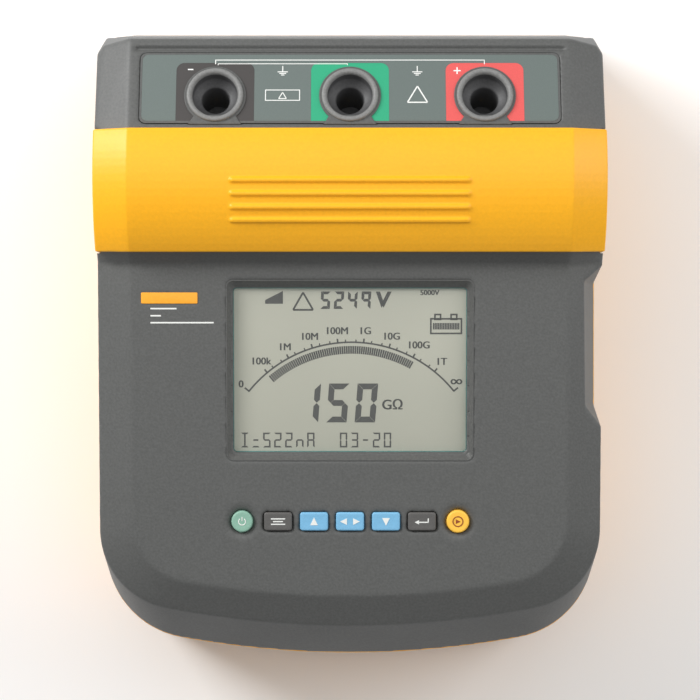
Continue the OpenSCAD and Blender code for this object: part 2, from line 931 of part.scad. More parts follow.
module battery_leads() {
    top = battery_bottom + battery_height + 6;
    tab_y = battery_corner[1] + battery_length - 9.5;
    color("#b03030") wire([
        [battery_corner[0] + 16.6, tab_y, top],
        [battery_corner[0] + 16.6, battery_corner[1] - 12, top + 6],
        [battery_corner[0] + 16.6, battery_corner[1] - 14, main_board_z + board_thickness + 1],
    ], 1.4);
    color("#202020") wire([
        [battery_corner[0] + battery_width - 17.4, tab_y, top],
        [battery_corner[0] + battery_width - 17.4, battery_corner[1] - 12, top + 6],
        [battery_corner[0] + battery_width - 17.4, battery_corner[1] - 14, main_board_z + board_thickness + 1],
    ], 1.4);
}

// Insulated leads from the sockets down to the high-voltage board.
module hv_leads() {
    reach = 53;
    start_y = terminal_y - reach * sin(terminal_tilt);
    start_z = terminal_z - reach * cos(terminal_tilt);
    color("#c8322c") for (i = [-1:1]) wire([
        [i * socket_pitch, start_y, start_z],
        [i * socket_pitch + (1 - i) * 6, start_y - 4, start_z - 12 + i * 4],
        [hv_corner[0] + 34 + i * 9, start_y - 6, start_z - 14 + i * 4],
        [hv_corner[0] + 34 + i * 9, start_y - 8, hv_board_z + 27.5],
    ], 1.6);
}

module ribbon_cable() {
    color("#9aa0a8") translate([-30, -58, main_board_z + board_thickness]) {
        cube([44, 8, 7]);
        translate([2, 3.4, 6.9]) cube([40, 1, panel_z - main_board_z - board_top - 22]);
    }
}

// ---------- mains inlet and infrared port ----------

// Frame on the sunk floor of the inlet pocket: +z points out of the right-hand wall.
module on_inlet() {
    translate([half_width - inlet_sink, inlet_y, inlet_z]) rotate([0, 90, 0]) children();
}

module ac_inlet() {
    color("#1c1c1d") on_inlet() difference() {
        union() {
            rounded_box([inlet_opening[1] + 4, inlet_opening[0] + 4], 3, -inlet_depth, 0);
            rounded_box([inlet_flange[1], inlet_flange[0]], 4, fit / 2, 2.4);
            rounded_box([inlet_opening[1] + 4, inlet_opening[0] + 4], 3, -1, 1);
        }
        rounded_box([inlet_opening[1], inlet_opening[0]], 4, -inlet_depth + 3, 5);
        for (y = [-inlet_screw, inlet_screw]) translate([0, y, -5]) cylinder(r = 1.7, h = 12);
        for (x = [-7, 0, 7]) translate([2 - abs(x) / 2.4, x, -inlet_depth - 2]) cylinder(r = 1.3, h = 8);
    }
}

module ac_inlet_pins() {
    color("#c6c9cc") on_inlet() for (x = [-7, 0, 7])
        translate([2 - abs(x) / 2.4, x, -inlet_depth - 5]) cylinder(r = 1.2, h = inlet_depth - 2);
}

module inlet_screws() {
    color("#8f9398") on_inlet() for (y = [-inlet_screw, inlet_screw])
        translate([0, y, 2.4]) rotate([180, 0, 0]) screw(9, 1.5);
}

module ir_window() {
    color("#3a1512") translate([half_width, window_y, inlet_z]) rotate([0, 90, 0])
        rounded_box([window_size[1], window_size[0]], 2, -wall - 1, -0.4);
}

module ir_leds() {
    color("#55585c") for (y = [-3.5, 3.5]) translate([half_width - wall - 7, window_y + y, inlet_z])
        rotate([0, 90, 0]) {
            cylinder(r = 1.9, h = 2.6);
            translate([0, 0, 2.6]) sphere(r = 1.9);
        }
    color("#2f6b4a") translate([half_width - wall - 8.6, window_y - 8, inlet_z - 6]) cube([1.7, 16, 12]);
}

// ---------- feet, screws, seal and plates ----------

module rubber_feet() {
    color("#1e1e1e") for (p = feet) translate([p[0], p[1], 0])
        cylinder(r = foot_radius, h = foot_height + 1.4);
}

module case_screws() {
    color("#9da1a6") for (p = towers) translate([p[0], p[1], floor_top + 5])
        screw(parting_height - floor_top + 4, screw_radius - 0.35);
}

module cover_screws() {
    color("#9da1a6") for (p = cover_studs) translate([p[0], p[1], seat_z(p[1]) - 7.05])
        screw(6, 1.25);
}

module case_seal() {
    color("#222222") rim_ring(seal_inset + 0.2, seal_width - 0.4, seal_bottom + 0.05, seal_bottom + seal_height);
}

module badge_plate() {
    color("#f2a23a") on_panel() translate([-85.8, 34.6, -0.55]) rounded_box([26.8, 5.3], 0.5, 0, 0.75);
}

module rating_plate() {
    color("#c9cbcc") translate([0, 0, foot_height + 0.05]) rounded_box([90, 60], 2.8, 0, 0.35);
}

lower_case();
rear_bumper();
upper_case();
hump_cover();
terminal_panel();
terminal_label();
label_tab_black();
label_tab_green();
label_tab_red();
socket_minus();
socket_guard();
socket_plus();
socket_contacts();
terminal_block();
display_lens();
lens_gasket();
lcd_glass();
lcd_backlight();
lcd_holder();
lcd_connectors();
keypad_mat();
key_power();
key_function();
key_up();
key_left_right();
key_down();
key_enter();
key_test();
front_board();
front_board_screws();
main_board();
board_screws();
control_chips();
capacitors();
buzzer();
fuse_holder();
hv_board();
hv_transformer_core();
hv_transformer_coil();
hv_multiplier();
hv_relays();
charger_board();
charger_transformer();
battery();
battery_tabs();
battery_strap();
battery_leads();
hv_leads();
ribbon_cable();
ac_inlet();
ac_inlet_pins();
inlet_screws();
ir_window();
ir_leds();
rubber_feet();
case_screws();
cover_screws();
case_seal();
badge_plate();
rating_plate();
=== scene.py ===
"""Bench insulation resistance tester: softened case shells, lens and display, keys and sockets."""

import json
import math

import bmesh
import bpy
from bpy.props import FloatProperty, FloatVectorProperty, IntProperty, PointerProperty
from mathutils import Matrix, Vector


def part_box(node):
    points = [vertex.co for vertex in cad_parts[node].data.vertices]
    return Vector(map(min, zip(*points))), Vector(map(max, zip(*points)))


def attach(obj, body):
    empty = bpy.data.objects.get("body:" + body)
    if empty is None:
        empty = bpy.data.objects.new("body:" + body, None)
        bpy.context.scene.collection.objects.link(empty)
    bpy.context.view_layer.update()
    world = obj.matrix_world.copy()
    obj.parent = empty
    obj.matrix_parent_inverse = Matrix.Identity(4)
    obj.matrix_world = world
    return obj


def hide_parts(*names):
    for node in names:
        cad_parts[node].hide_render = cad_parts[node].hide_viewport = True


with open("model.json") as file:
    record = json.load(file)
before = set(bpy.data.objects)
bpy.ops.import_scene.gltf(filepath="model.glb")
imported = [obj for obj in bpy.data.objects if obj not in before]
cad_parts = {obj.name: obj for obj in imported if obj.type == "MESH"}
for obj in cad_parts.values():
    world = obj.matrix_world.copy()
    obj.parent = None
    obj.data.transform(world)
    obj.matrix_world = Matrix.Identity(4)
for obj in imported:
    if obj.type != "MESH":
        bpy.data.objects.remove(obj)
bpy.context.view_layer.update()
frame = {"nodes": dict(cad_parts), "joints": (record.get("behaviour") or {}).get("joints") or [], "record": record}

bl_info = {
    "name": "Insulation Resistance Tester",
    "version": (1, 0, 0),
    "blender": (4, 5, 0),
    "location": "View3D > Sidebar > Tester",
    "description": "Builds the shells, display, keys and sockets of a bench insulation tester",
    "category": "Object",
}

MM = 0.001
CASE = "case"


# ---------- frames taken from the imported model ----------

def centre(node):
    """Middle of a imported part's box, in metres."""
    low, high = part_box(node)
    return (low + high) / 2


def tilted(origin, normal):
    """Frame at origin whose +Z is normal and whose X stays across the case, in millimetres."""
    z = Vector(normal).normalized()
    x = Vector((1, 0, 0))
    y = z.cross(x)
    turn = Matrix((x, y, z)).transposed().to_4x4()
    return Matrix.Translation(origin) @ turn @ Matrix.Scale(MM, 4)


def mount(name):
    """The named mount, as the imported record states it."""
    for entry in frame["record"]["mounts"]:
        if entry["name"] == name:
            return entry
    raise RuntimeError("the packed record has no mount " + name)


def joint_axis():
    """Outward normal of the panel, which the test key slides against."""
    for joint in frame["joints"]:
        if joint["name"] == "press_test":
            return -Vector(joint["axis"])
    raise RuntimeError("the packed model has no joint press_test")


PANEL_NORMAL = joint_axis()
LENS_MIDDLE = 1.1
BORE_MIDDLE = 18.2
PANEL = tilted(centre("display_lens") + PANEL_NORMAL * LENS_MIDDLE * MM, PANEL_NORMAL)
GUARD = mount("socket_guard_bore")
TERMINALS = tilted(
    Vector(GUARD["pos_m"]) + Vector(GUARD["axis"]) * BORE_MIDDLE * MM, GUARD["axis"]
)
SOCKET_PITCH = abs(mount("socket_plus_bore")["pos_m"][0]) / MM
BORE_RADIUS = GUARD["dims"]["r_mm"]


def on_panel(node):
    """Middle of a node across the panel frame, in millimetres."""
    return PANEL.inverted() @ centre(node)


# ---------- settings ----------

def colour(name, default, text):
    return FloatVectorProperty(
        name=name, description=text, default=default, size=4, subtype="COLOR", min=0, max=1
    )


class TesterColours(bpy.types.PropertyGroup):
    """Colours of the moulded and printed parts, linear."""

    body: colour("Body", (0.100, 0.102, 0.099, 1), "Grey of the upper case")
    yellow: colour("Yellow", (0.97, 0.45, 0.010, 1), "Yellow of the lower case and cover")
    film: colour("Label film", (0.125, 0.155, 0.145, 1), "Ground of the terminal label")
    black_tab: colour("Black tab", (0.052, 0.047, 0.045, 1), "Tab round the negative socket")
    green_tab: colour("Green tab", (0.019, 0.36, 0.185, 1), "Tab round the guard socket")
    red_tab: colour("Red tab", (0.72, 0.098, 0.092, 1), "Tab round the positive socket")
    display: colour("Display", (0.40, 0.395, 0.325, 1), "Ground of the display")
    segment: colour("Segments", (0.048, 0.044, 0.040, 1), "Dark segments of the display")
    key_blue: colour("Blue keys", (0.195, 0.465, 0.70, 1), "The three arrow keys")
    key_dark: colour("Dark keys", (0.105, 0.102, 0.098, 1), "Function and enter keys")
    key_green: colour("Green key", (0.25, 0.45, 0.35, 1), "Power key")
    key_orange: colour("Orange key", (1.0, 0.56, 0.07, 1), "Test key")
    shroud: colour("Shrouds", (0.21, 0.21, 0.205, 1), "Rims of the three sockets")
    print_white: colour("Print", (0.82, 0.83, 0.80, 1), "Printed marks")


class TesterSizes(bpy.types.PropertyGroup):
    """Sizes of the finer shapes."""

    grid: FloatProperty(
        name="Shell grid",
        description="Spacing of the mesh that the case shells are rebuilt on",
        default=0.9 * MM,
        min=0.6 * MM,
        max=3 * MM,
        unit="LENGTH",
    )
    rounding: IntProperty(
        name="Edge rounding",
        description="Smoothing passes that round the moulded edges of the shells",
        default=5,
        min=1,
        max=20,
    )
    segments: IntProperty(
        name="Turned steps",
        description="Steps round each turned part",
        default=96,
        min=24,
        max=192,
    )
    lens_mm: FloatProperty(
        name="Camera lens",
        description="Focal length of the camera in millimetres",
        default=114.3,
        min=50,
        max=300,
    )


def colours():
    """Colour settings of the scene."""
    return bpy.context.scene.tester_colours


def sizes():
    """Size settings of the scene."""
    return bpy.context.scene.tester_sizes


# ---------- materials ----------

class Recipe:
    """A node material that is built up step by step."""

    def __init__(self, name, base, roughness, metallic=0.0):
        self.material = bpy.data.materials.new(name)
        self.material.use_nodes = True
        self.nodes = self.material.node_tree.nodes
        self.links = self.material.node_tree.links
        self.shader = self.nodes["Principled BSDF"]
        self.base = base
        self.shader.inputs["Base Color"].default_value = base
        self.shader.inputs["Roughness"].default_value = roughness
        self.shader.inputs["Metallic"].default_value = metallic
        self.place = self.nodes.new("ShaderNodeTexCoord")

    def noise(self, scale, detail=3.0, stretch=None):
        """Noise factor over object space, stretched per axis if asked."""
        node = self.nodes.new("ShaderNodeTexNoise")
        node.inputs["Scale"].default_value = scale
        node.inputs["Detail"].default_value = detail
        source = self.place.outputs["Object"]
        if stretch:
            mapping = self.nodes.new("ShaderNodeMapping")
            mapping.inputs["Scale"].default_value = stretch
            self.links.new(source, mapping.inputs["Vector"])
            source = mapping.outputs["Vector"]
        self.links.new(source, node.inputs["Vector"])
        return node.outputs["Fac"]

    def tint(self, factor, low, high, start=0.3, stop=0.7):
        """Colour that runs between two multiples of the base colour."""
        ramp = self.nodes.new("ShaderNodeValToRGB")
        for point, at, gain in zip(ramp.color_ramp.elements, (start, stop), (low, high)):
            point.position = at
            point.color = [min(1, c * gain) for c in self.base[:3]] + [1]
        self.links.new(factor, ramp.inputs["Fac"])
        self.links.new(ramp.outputs["Color"], self.shader.inputs["Base Color"])
        return self

    def vary_roughness(self, factor, low, high):
        """Roughness that runs from low to high with the factor."""
        spread = self.nodes.new("ShaderNodeMapRange")
        spread.inputs["To Min"].default_value = low
        spread.inputs["To Max"].default_value = high
        self.links.new(factor, spread.inputs["Value"])
        self.links.new(spread.outputs["Result"], self.shader.inputs["Roughness"])
        return self

    def relief(self, factor, depth, strength=1.0):
        """Bump of the given depth, in metres."""
        bump = self.nodes.new("ShaderNodeBump")
        bump.inputs["Strength"].default_value = strength
        bump.inputs["Distance"].default_value = depth
        self.links.new(factor, bump.inputs["Height"])
        self.links.new(bump.outputs["Normal"], self.shader.inputs["Normal"])
        return self


MADE = {}


def moulded(name, base, roughness=0.48, grain=900.0, depth=0.00006, speckle=0.12):
    """Moulded plastic with a fine eroded grain."""
    if name not in MADE:
        recipe = Recipe(name, tuple(base), roughness)
        fine = recipe.noise(grain, 4)
        recipe.tint(fine, 1 - speckle, 1 + speckle)
        recipe.vary_roughness(recipe.noise(30), roughness - 0.06, roughness + 0.08)
        recipe.relief(fine, depth)
        recipe.shader.inputs["Specular IOR Level"].default_value = 0.4
        MADE[name] = recipe.material
    return MADE[name]


def metal(name, base, roughness=0.3, stretch=(1, 30, 1)):
    """Metal with fine drawn or brushed lines."""
    if name not in MADE:
        recipe = Recipe(name, tuple(base), roughness, 1.0)
        lines = recipe.noise(300, 2, stretch)
        recipe.tint(lines, 0.88, 1.08)
        recipe.vary_roughness(lines, roughness - 0.08, roughness + 0.12)
        recipe.relief(lines, 0.00002)
        MADE[name] = recipe.material
    return MADE[name]


def printed(name, base):
    """Ink or film with a slight flow mottle."""
    if name not in MADE:
        recipe = Recipe(name, tuple(base), 0.5)
        recipe.tint(recipe.noise(2500, 2), 0.93, 1.05)
        recipe.vary_roughness(recipe.noise(200), 0.42, 0.58)
        MADE[name] = recipe.material
    return MADE[name]


def board(name):
    """Solder resist over faint tracks."""
    if name not in MADE:
        recipe = Recipe(name, (0.03, 0.16, 0.07, 1), 0.35)
        tracks = recipe.noise(120, 1, (6, 1, 1))
        recipe.tint(tracks, 0.8, 1.5, 0.48, 0.52)
        recipe.relief(tracks, 0.00004)
        MADE[name] = recipe.material
    return MADE[name]


# ---------- mesh makers ----------

WELD_DISTANCE = 1e-6


def new_object(name, mesh, material, matrix=None, body=CASE, crease=35.0):
    """Object with its mesh moved by matrix, smooth up to the crease angle, riding its body."""
    obj = bpy.data.objects.new(name, mesh)
    bpy.context.scene.collection.objects.link(obj)
    if matrix is not None:
        mesh.transform(matrix)
    mesh.shade_smooth()
    mesh.set_sharp_from_angle(angle=math.radians(crease))
    if material is not None:
        mesh.materials.append(material)
    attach(obj, body)
    return obj


def ring_mesh(name, loops, capped=True):
    """Joins loops of points, each with the same count, into a closed skin."""
    count = len(loops[0])
    points = [p for loop in loops for p in loop]
    faces = []
    for row in range(len(loops) - 1):
        for i in range(count):
            j = (i + 1) % count
            a = row * count
            faces.append((a + i, a + j, a + count + j, a + count + i))
    if capped:
        faces.append(tuple(reversed(range(count))))
        last = (len(loops) - 1) * count
        faces.append(tuple(range(last, last + count)))
    mesh = bpy.data.meshes.new(name)
    mesh.from_pydata(points, [], faces)
    fix_normals(mesh)
    return mesh


def fix_normals(mesh, weld=False):
    """Turns all faces outward, and with weld joins points that lie together first."""
    work = bmesh.new()
    work.from_mesh(mesh)
    if weld:
        bmesh.ops.remove_doubles(work, verts=work.verts, dist=WELD_DISTANCE)
    bmesh.ops.recalc_face_normals(work, faces=work.faces)
    work.to_mesh(mesh)
    work.free()


def turned_mesh(name, profile, steps):
    """Turns a closed profile of (radius, height) pairs round the z axis."""
    points = []
    for radius, height in profile:
        for i in range(steps):
            angle = 2 * math.pi * i / steps
            points.append((radius * math.cos(angle), radius * math.sin(angle), height))
    faces = []
    rows = len(profile)
    for row in range(rows):
        a = row * steps
        b = ((row + 1) % rows) * steps
        for i in range(steps):
            j = (i + 1) % steps
            faces.append((a + i, a + j, b + j, b + i))
    mesh = bpy.data.meshes.new(name)
    mesh.from_pydata(points, [], faces)
    fix_normals(mesh)
    return mesh


def rounded_outline(width, length, radius, steps=6, shift=(0, 0)):
    """Outline of a rectangle with rounded corners, about shift."""
    points = []
    corners = ((1, 1, 0), (-1, 1, 90), (-1, -1, 180), (1, -1, 270))
    for sx, sy, start in corners:
        for i in range(steps + 1):
            angle = math.radians(start + 90 * i / steps)
            x = sx * (width / 2 - radius) + radius * math.cos(angle)
            y = sy * (length / 2 - radius) + radius * math.sin(angle)
            points.append((x + shift[0], y + shift[1]))
    return points


def level(outline, height):
    """Points of a flat outline, all at one height."""
    return [(x, y, height) for x, y in outline]


def plate_loops(outline_at, low, high, edge, steps=3):
    """Loops of a plate with a rounded top edge; outline_at(inset) gives each outline."""
    loops = [level(outline_at(0), low)]
    for i in range(steps + 1):
        angle = math.pi / 2 * i / steps
        inset = edge * (1 - math.cos(angle))
        height = high - edge + edge * math.sin(angle)
        loops.append(level(outline_at(inset), height))
    return loops


# ---------- shells rebuilt with rounded edges ----------

def softened(node, name, grid, passes, keep, material):
    """The CAD shell on a fine even mesh, with its moulded edges rounded."""
    source = frame["nodes"][node]
    mesh = source.data.copy()
    mesh.materials.clear()
    obj = bpy.data.objects.new(name, mesh)
    bpy.context.scene.collection.objects.link(obj)
    remesh = obj.modifiers.new("even_mesh", "REMESH")
    remesh.mode = "VOXEL"
    remesh.voxel_size = grid
    smooth = obj.modifiers.new("round_edges", "SMOOTH")
    smooth.factor = 0.5
    smooth.iterations = passes
    thin = obj.modifiers.new("thin_out", "DECIMATE")
    thin.ratio = keep
    graph = bpy.context.evaluated_depsgraph_get()
    done = bpy.data.meshes.new_from_object(obj.evaluated_get(graph))
    obj.modifiers.clear()
    obj.data = done
    bpy.data.meshes.remove(mesh)
    done.materials.clear()
    done.materials.append(material)
    done.shade_smooth()
    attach(obj, CASE)
    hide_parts(node)
    return obj


# ---------- flat marks: printed lines, symbols and display segments ----------

class Marks:
    """Gathers flat shapes, in millimetres, and makes them one thin closed mesh."""

    def __init__(self):
        self.shapes = []
        self.words = []

    def shape(self, points):
        """A filled outline."""
        self.shapes.append(points)

    def line(self, start, end, width):
        """A straight bar between two points."""
        run = Vector(end) - Vector(start)
        side = Vector((-run.y, run.x)).normalized() * width / 2
        a, b = Vector(start), Vector(end)
        self.shape([tuple(a + side), tuple(a - side), tuple(b - side), tuple(b + side)])

    def frame(self, x, y, width, height, line):
        """An empty box about x, y."""
        half_w, half_h = width / 2, height / 2
        self.line((x - half_w, y + half_h), (x + half_w, y + half_h), line)
        self.line((x - half_w, y - half_h), (x + half_w, y - half_h), line)
        inner = half_h - line / 2 - 0.001
        self.line((x - half_w + line / 2, y - inner), (x - half_w + line / 2, y + inner), line)
        self.line((x + half_w - line / 2, y - inner), (x + half_w - line / 2, y + inner), line)

    def arc(self, middle, inner, outer, start, end, steps=24):
        """Part of a ring, between two angles in degrees."""
        turn = [math.radians(start + (end - start) * i / steps) for i in range(steps + 1)]
        far = [(middle[0] + outer * math.cos(a), middle[1] + outer * math.sin(a)) for a in turn]
        near = [(middle[0] + inner * math.cos(a), middle[1] + inner * math.sin(a)) for a in turn]
        self.shape(far + near[::-1])

    def ring(self, middle, inner, outer):
        """A full ring, made of two arcs that nearly meet."""
        self.arc(middle, inner, outer, 0, 179.9)
        self.arc(middle, inner, outer, 180, 359.9)

    def triangle_outline(self, x, y, size, line):
        """An empty triangle with the middle of its base at x, y."""
        corners = [(x - size / 2, y), (x + size / 2, y), (x, y + size * 0.87)]
        for a, b in zip(corners, corners[1:] + corners[:1]):
            self.line(a, b, line)

    def text(self, words, x, y, size, lean=0.0, weight=0.0):
        """Numbers or unit signs, thickened sideways by weight."""
        self.words.append((words, x, y, size, lean, weight))

    def build(self, name, matrix, low, high, material):
        """The object that all gathered shapes make, between the two heights."""
        work = bmesh.new()
        for points in self.shapes:
            bottom = [work.verts.new((x, y, low)) for x, y in points]
            top = [work.verts.new((x, y, high)) for x, y in points]
            work.faces.new(top)
            work.faces.new(bottom[::-1])
            for i in range(len(points)):
                j = (i + 1) % len(points)
                work.faces.new((bottom[i], bottom[j], top[j], top[i]))
        for words in self.words:
            add_words(work, *words, low, high)
        bmesh.ops.recalc_face_normals(work, faces=work.faces)
        mesh = bpy.data.meshes.new(name)
        work.to_mesh(mesh)
        work.free()
        return new_object(name, mesh, material, matrix)


def add_words(work, words, x, y, size, lean, weight, low, high):
    """Numbers and unit signs from the built-in face, as closed solids."""
    curve = bpy.data.curves.new("words", "FONT")
    curve.body = words
    curve.size = size
    curve.shear = lean
    curve.align_x = "CENTER"
    curve.align_y = "CENTER"
    curve.extrude = (high - low) / 2
    curve.resolution_u = 3
    holder = bpy.data.objects.new("words", curve)
    mesh = bpy.data.meshes.new_from_object(holder)
    mesh.transform(Matrix.Translation((x - weight / 2, y, (low + high) / 2)))
    work.from_mesh(mesh)
    if weight > 0:
        mesh.transform(Matrix.Translation((weight, 0, 0)))
        work.from_mesh(mesh)
    bpy.data.objects.remove(holder)
    bpy.data.curves.remove(curve)
    bpy.data.meshes.remove(mesh)


# Each segment's ends, its outward side, and the number of its ends that meet a corner.
SEGMENTS = {
    "a": ((0, 1), (1, 1), (0, 1), 2),
    "b": ((1, 1), (1, 0.5), (1, 0), 1),
    "c": ((1, 0), (1, 0.5), (1, 0), 1),
    "d": ((0, 0), (1, 0), (0, -1), 2),
    "e": ((0, 0), (0, 0.5), (-1, 0), 1),
    "f": ((0, 1), (0, 0.5), (-1, 0), 1),
    "g": ((0, 0.5), (1, 0.5), (0, 1), 0),
    "m": ((0.5, 0), (0.5, 1), (1, 0), 0),
}
DIGITS = {
    "0": "abcdef",
    "1": "bc",
    "2": "abged",
    "3": "abgcd",
    "4": "fgbc",
    "5": "afgcd",
    "9": "abcfg",
    "-": "g",
    "=": "gd",
    "n": "ceg",
    "A": "abcefg",
    "I": "adm",
}


def segment_end(point, inward, side, stroke, corner):
    """Points across one end of a segment, from its outer edge to its inner edge."""
    reach = inward * stroke / 2
    point = point + inward * stroke * 0.03
    if corner:
        return [point - reach + side, point + reach - side]
    return [point + reach + side, point, point + reach - side]


def digit(marks, sign, x, y, width, height, stroke, lean):
    """One sign of a segmented display, with its lower left corner at x, y."""
    for part in DIGITS[sign]:
        start, end, outward, corners = SEGMENTS[part]
        a = Vector((start[0] * width, start[1] * height))
        b = Vector((end[0] * width, end[1] * height))
        along = (b - a).normalized()
        side = Vector(outward) * stroke / 2
        points = segment_end(a, along, side, stroke, corners > 0)
        points += segment_end(b, -along, side, stroke, corners > 1)[::-1]
        marks.shape([(x + p.x + lean * p.y, y + p.y) for p in points])


def number(marks, signs, x, y, width, height, stroke, pitch, lean=0.12):
    """A row of segmented signs."""
    for i, sign in enumerate(signs):
        digit(marks, sign, x + i * pitch, y, width, height, stroke, lean)


# ---------- display ----------

DIAL_MIDDLE = (0.7, -49.7)
DIAL_RADIUS = 62.9
DIAL_ENDS = (141.2, 38.9)
FIRST_DECADE = 129.8
DECADE = 11.28
BAR_ENDS = (130.4, 60.7)
BAR_STEPS = 70
GLASS_SIZE = (115.4, 82.2)
GLASS_FACE = -5.2
GLASS_BACK = -6.9


def dial_tick(marks, turn, inner, outer, width):
    """A short bar across the scale at turn degrees."""
    angle = math.radians(turn)
    along = Vector((math.cos(angle), math.sin(angle)))
    start = Vector(DIAL_MIDDLE) + along * inner
    marks.line(tuple(start), tuple(Vector(DIAL_MIDDLE) + along * outer), width)


def dial(marks):
    """The curved scale with its ticks and numbers, and the bar graph under it."""
    first, last = DIAL_ENDS
    marks.arc(DIAL_MIDDLE, DIAL_RADIUS - 0.4, DIAL_RADIUS + 0.4, first, last, 90)
    for turn in (first, last):
        dial_tick(marks, turn, DIAL_RADIUS - 0.3, DIAL_RADIUS + 2.6, 0.8)
    for i in range(8):
        turn = FIRST_DECADE - DECADE * i
        dial_tick(marks, turn, DIAL_RADIUS + 0.2, DIAL_RADIUS + 2.0, 0.8)
        if i < 7:
            for part in (0.3, 0.7):
                dial_tick(marks, turn - DECADE * part, DIAL_RADIUS + 0.2, DIAL_RADIUS + 1.3, 0.6)
    left, right = BAR_ENDS
    for i in range(BAR_STEPS):
        a = left + (right - left) * i / BAR_STEPS
        b = left + (right - left) * (i + 0.78) / BAR_STEPS
        marks.arc(DIAL_MIDDLE, DIAL_RADIUS - 5.5, DIAL_RADIUS - 1.8, a, b, 2)
    labels = (
        ("0", -52.1, -7.0),
        ("100k", -42.6, 4.0),
        ("1M", -31.2, 10.8),
        ("10M", -19.4, 15.8),
        ("100M", -6.3, 18.5),
        ("1G", 7.2, 18.5),
        ("10G", 19.8, 15.9),
        ("100G", 32.8, 11.7),
        ("1T", 43.7, 3.8),
        ("∞", 50.9, -5.8),
    )
    for words, x, y in labels:
        marks.text(words, x, y, 6.4 if words == "∞" else 4.9, weight=0.32)


def readings(marks):
    """Main value, test voltage, current and time in segmented signs."""
    number(marks, "150", -23.6, -23.9, 7.0, 15.9, 2.8, 13.65, 0.08)
    marks.text("GΩ", 20.3, -17.0, 6.8, weight=0.4)
    number(marks, "5249", -13.5, 29.8, 3.2, 7.0, 1.35, 6.45, 0.06)
    marks.text("V", 15.5, 33.2, 11.0, 0.08, 0.9)
    marks.text("5000V", 38.0, 36.8, 3.5, weight=0.3)
    number(marks, "I=522nA", -51.8, -37.0, 2.8, 6.4, 0.75, 5.27, 0.0)
    number(marks, "03-20", -4.5, -37.0, 2.8, 6.4, 0.75, 5.27, 0.0)


def icons(marks):
    """Ramp sign, empty triangle and battery sign."""
    marks.shape([(-40.5, 31.6), (-32.0, 31.6), (-32.0, 37.7), (-40.5, 33.4)])
    marks.triangle_outline(-22.4, 28.7, 9.5, 0.9)
    marks.frame(45.9, 20.9, 15.4, 7.0, 0.8)
    for x in (41.9, 49.6):
        marks.frame(x, 25.3, 3.5, 2.3, 0.8)
    for i in range(16):
        x = 39.6 + i * 0.8
        marks.shape([(x, 19.3), (x + 0.62, 19.3), (x + 0.62, 22.4), (x, 22.4)])


def display_ground(name):
    """Pale grey-green reflective face."""
    recipe = Recipe(name, tuple(colours().display), 0.45)
    recipe.tint(recipe.noise(14, 1), 0.95, 1.05)
    recipe.vary_roughness(recipe.noise(900), 0.38, 0.5)
    return recipe.material


def lens_clear(name):
    """Thin clear acrylic that lets nearly all light through."""
    recipe = Recipe(name, (0.75, 0.86, 0.84, 1), 0.08)
    recipe.shader.inputs["Alpha"].default_value = 0.03
    recipe.vary_roughness(recipe.noise(40), 0.04, 0.1)
    return recipe.material


def lens_edge(name):
    """Cast edge of the lens, which gathers a teal tint."""
    recipe = Recipe(name, (0.05, 0.21, 0.20, 1), 0.2)
    recipe.tint(recipe.noise(60), 0.8, 1.25)
    recipe.shader.inputs["Coat Weight"].default_value = 0.6
    return recipe.material


# Width, length and corner radius of the well's top and of the window in its floor.
WELL = (116.6, 85.2, 2.8)
WINDOW = (111.4, 78.6, 1.6)


def tube_mesh(name, sections):
    """Closed skin through (width, length, radius, height) sections, ending where it began."""
    loops = []
    for width, length, radius, height in sections:
        loops.append(level(rounded_outline(width, length, radius, 8), height))
    loops.append(loops[0])
    mesh = ring_mesh(name, loops, capped=False)
    fix_normals(mesh, weld=True)
    return mesh


def build_lens():
    """The clear lens, the rim of its well and the cast edge under it."""
    outer, inner = Vector(WELL), Vector(WINDOW)
    width, length, radius = inner

    def outline(inset):
        return rounded_outline(width - 2 * inset, length - 2 * inset, radius - inset, 8)

    mesh = ring_mesh("clear_lens", plate_loops(outline, -5.0, -3.6, 0.4))
    lens = new_object("clear_lens", mesh, lens_clear("clear_acrylic"), PANEL)
    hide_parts("display_lens")
    grey = moulded("body_grey", colours().body)
    lip = Vector((0.9, 0.9, 0.3))
    sections = [
        (*(outer + lip * 1.6), -4.6),
        (*(outer + lip * 1.6), -0.35),
        (*(outer + lip * 1.3), 0.05),
        (*(outer + lip * 0.5), 0.08),
        (*outer, -0.3),
        (*(inner + lip * 1.2), -2.9),
        (*(inner + lip * 0.3), -3.25),
        (*inner, -3.5),
        (*inner, -3.6),
        (*(inner + lip), -4.6),
    ]
    rim = new_object("window_rim", tube_mesh("window_rim", sections), grey, PANEL, crease=28)
    edge = Vector((0.05, 0.05, 0.0))
    sections = [
        (*(inner + edge), -3.62),
        (*(inner - lip * 0.5), -3.62),
        (*(inner - lip * 0.7), -5.1),
        (*(inner + edge), -5.1),
    ]
    mesh = tube_mesh("lens_surround", sections)
    surround = new_object("lens_surround", mesh, lens_edge("teal_edge"), PANEL)
    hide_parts("lens_gasket")


def build_display():
    """The display face and the segments that lie on it."""
    width, length = GLASS_SIZE

    def outline(inset):
        return rounded_outline(width - 2 * inset, length - 2 * inset, 0.6, 3)

    mesh = ring_mesh("display_glass", plate_loops(outline, GLASS_BACK, GLASS_FACE, 0.15))
    glass = new_object("display_glass", mesh, display_ground("display_face"), PANEL)
    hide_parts("lcd_glass")
    marks = Marks()
    dial(marks)
    readings(marks)
    icons(marks)
    ink = printed("display_segment", colours().segment)
    shown = marks.build("display_segments", PANEL, GLASS_FACE + 0.01, GLASS_FACE + 0.05, ink)


# ---------- keys ----------

KEYS = ("power", "function", "up", "left_right", "down", "enter", "test")
KEY_ROW = on_panel("key_test").y
